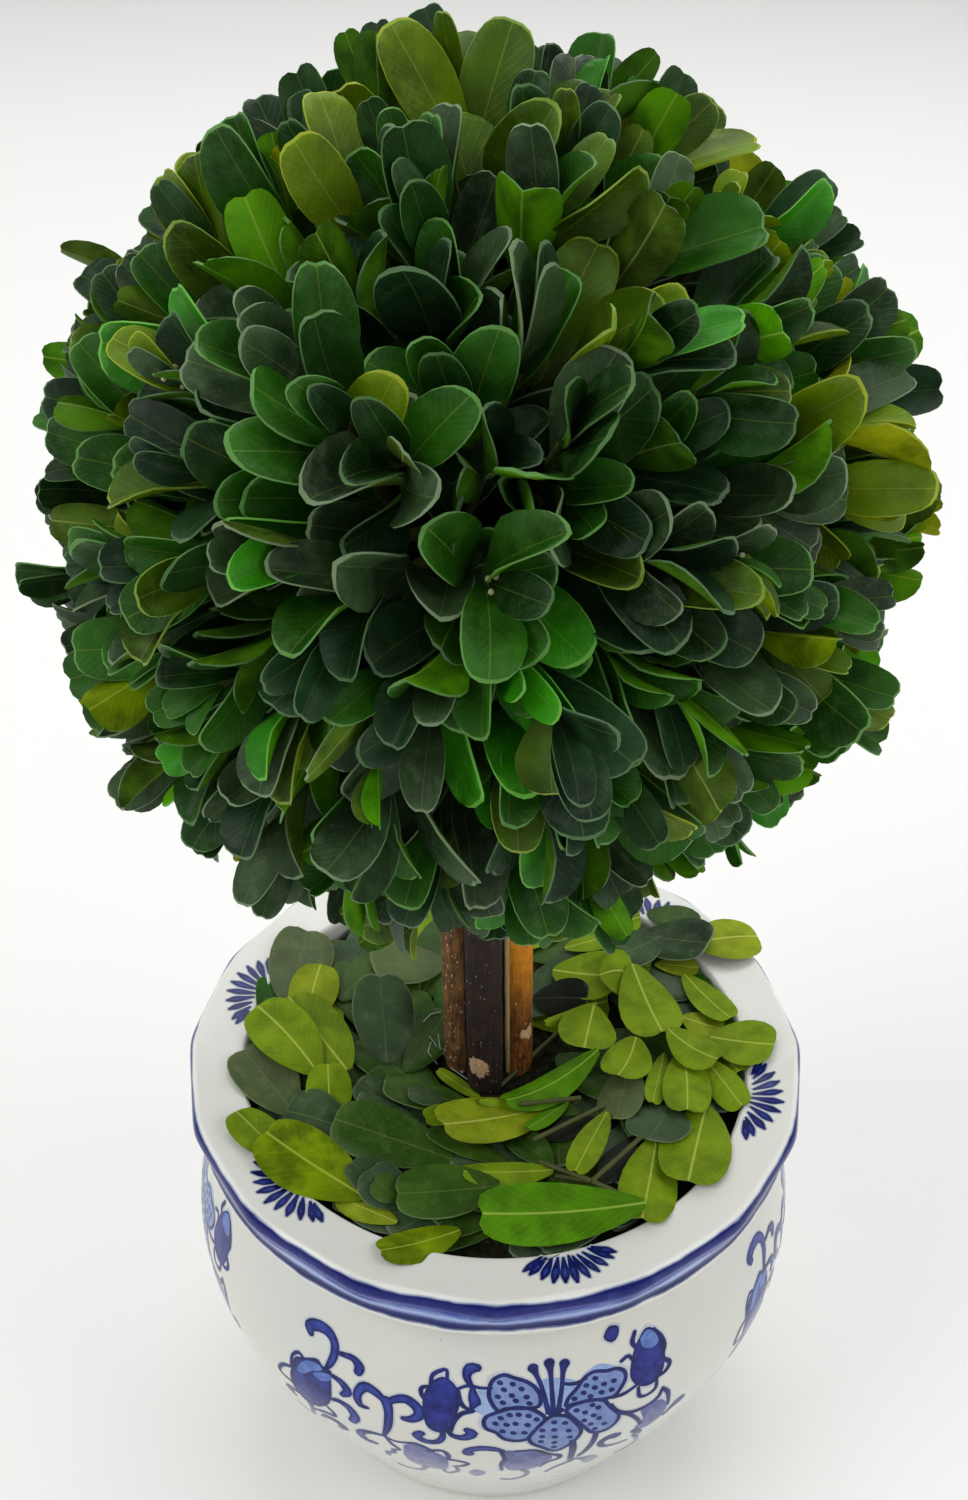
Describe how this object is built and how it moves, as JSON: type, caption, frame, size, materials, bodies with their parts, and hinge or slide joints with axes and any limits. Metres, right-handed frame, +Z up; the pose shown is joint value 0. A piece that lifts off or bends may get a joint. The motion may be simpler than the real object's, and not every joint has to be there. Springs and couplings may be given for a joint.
{
  "type": "potted boxwood ball topiary",
  "caption": "Table-top ball topiary of preserved boxwood leaves on a stem of bundled sticks, in a glazed blue and white pot with leaves laid over its top.",
  "frame": {"origin": "middle of the pot's flat underside, on the pot's own axis", "axes": "+Z up along the pot's axis to the ball, front of the pot at -Y, +X to the right seen from the front"},
  "size_m": [0.1314, 0.1313, 0.2695],
  "materials": {
    "glaze": "glossy grey-white glaze with cobalt brushwork",
    "foam": "matte dry florist foam",
    "bark_brown": "rough brown bark with pale flecks",
    "bark_dark": "very dark bark with pale lenticels",
    "bark_orange": "smooth orange-brown bark",
    "cover_leaves": "satin preserved leaves, olive and dark green",
    "ball_leaves": "satin preserved leaves, dark green with olive and bright green ones"
  },
  "bodies": {
    "root": {"pot": "glaze", "foam_plug": "foam", "stem_left": "bark_brown", "stem_middle": "bark_dark", "stem_right": "bark_orange", "leaf_cover": "cover_leaves", "leaf_ball": "ball_leaves"}
  },
  "joints": []
}
